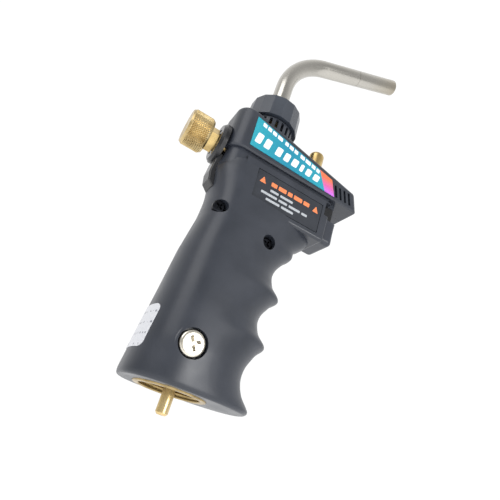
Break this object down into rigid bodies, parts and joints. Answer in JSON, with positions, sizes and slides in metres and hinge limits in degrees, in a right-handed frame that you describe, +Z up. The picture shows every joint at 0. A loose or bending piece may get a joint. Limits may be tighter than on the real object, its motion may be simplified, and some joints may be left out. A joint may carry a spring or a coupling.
{
  "type": "propane torch",
  "caption": "Hand-held gas torch with a finger-grooved pistol handle, threaded cylinder socket, brass flame knob, sliding trigger and a bent stainless burn tube.",
  "frame": {"origin": "centre of the cylinder socket's mouth, on the thread's axis", "axes": "+Z up along the socket thread, from the gas cylinder into the torch; +X the way the burn tube points; +Y to the left of someone holding it"},
  "size_m": [0.1107, 0.0394, 0.2376],
  "materials": {
    "moulded_shell": "satin moulded blue-grey plastic",
    "black_moulding": "satin black plastic",
    "brass_turned": "turned brass",
    "brass_knurled": "knurled brass",
    "sintered_metal": "sintered, matt",
    "seal_rubber": "matt black rubber",
    "spring_steel": "drawn wire",
    "zinc_casting": "die cast",
    "copper_tube": "drawn copper",
    "turned_steel": "turned steel",
    "collar_coating": "satin grey powder coating",
    "stainless_tube": "drawn stainless tube",
    "lead_insulation": "smooth silicone insulation",
    "ceramic_insulator": "unglazed ceramic",
    "plated_screw": "nickel plated",
    "black_screw": "black oxide",
    "sticker_film": "printed gloss film, no words",
    "plaque_plate": "moulded plate with printed marks, no words",
    "label_paper": "white paper label, no words"
  },
  "bodies": {
    "handle": {"anchor_screws": "plated_screw", "caution_plaque": "plaque_plate", "cylinder_socket": "brass_turned", "electrode_insulator": "ceramic_insulator", "gas_tube": "copper_tube", "gland_nut": "brass_turned", "housing_screws": "black_screw", "ignition_lead": "lead_insulation", "inlet_filter": "sintered_metal", "inlet_pin": "brass_turned", "inlet_seal": "seal_rubber", "jet_nozzle": "brass_turned", "left_shell": "moulded_shell", "lock_bracket": "turned_steel", "lock_spring": "spring_steel", "mixing_tube": "brass_turned", "piezo_igniter": "black_moulding", "rear_bezel": "black_moulding", "rear_label": "label_paper", "regulator_body": "brass_turned", "regulator_cap": "zinc_casting", "regulator_diaphragm": "seal_rubber", "regulator_spring": "spring_steel", "retaining_ring": "spring_steel", "right_shell": "moulded_shell", "side_sticker": "sticker_film", "spark_electrode": "turned_steel", "stem_o_ring": "seal_rubber", "trigger_spring": "spring_steel", "valve_body": "brass_turned"},
    "burner": {"collar": "collar_coating", "burn_tube": "stainless_tube", "flame_holder": "stainless_tube"},
    "trigger": {"trigger": "moulded_shell", "trigger_slide": "black_moulding"},
    "valve_plunger": {"valve_plunger": "turned_steel"},
    "piezo_plunger": {"piezo_plunger": "black_moulding"},
    "knob": {"adjusting_knob": "brass_knurled", "valve_stem": "turned_steel"},
    "lock_button": {"lock_button": "brass_turned"}
  },
  "joints": [
    {"name": "burner_swivel", "type": "hinge", "parent": "handle", "child": "burner", "pos_m": [0.0035, 0, 0.145], "axis": [0, 0, 1], "continuous": true},
    {"name": "trigger_pull", "type": "slide", "parent": "handle", "child": "trigger", "axis": [-1, 0, 0], "range_m": [0, 0.006], "stiffness_N_per_m": 900, "springref_m": -0.004},
    {"name": "valve_plunger_slide", "type": "slide", "parent": "handle", "child": "valve_plunger", "axis": [-1, 0, 0], "range_m": [0, 0.006], "deforming": ["trigger_spring"]},
    {"name": "piezo_plunger_slide", "type": "slide", "parent": "handle", "child": "piezo_plunger", "axis": [-1, 0, 0], "range_m": [0, 0.006]},
    {"name": "knob_turn", "type": "hinge", "parent": "handle", "child": "knob", "pos_m": [-0.03, 0, 0.115], "axis": [-1, 0, 0], "range_deg": [0, 270]},
    {"name": "lock_press", "type": "slide", "parent": "handle", "child": "lock_button", "axis": [0, 0, -1], "range_m": [0, 0.003], "stiffness_N_per_m": 700, "springref_m": -0.003, "deforming": ["lock_spring"]}
  ],
  "couplings": [
    {"joint": "valve_plunger_slide", "follows": "trigger_pull", "ratio": 1},
    {"joint": "piezo_plunger_slide", "follows": "trigger_pull", "ratio": 1}
  ]
}
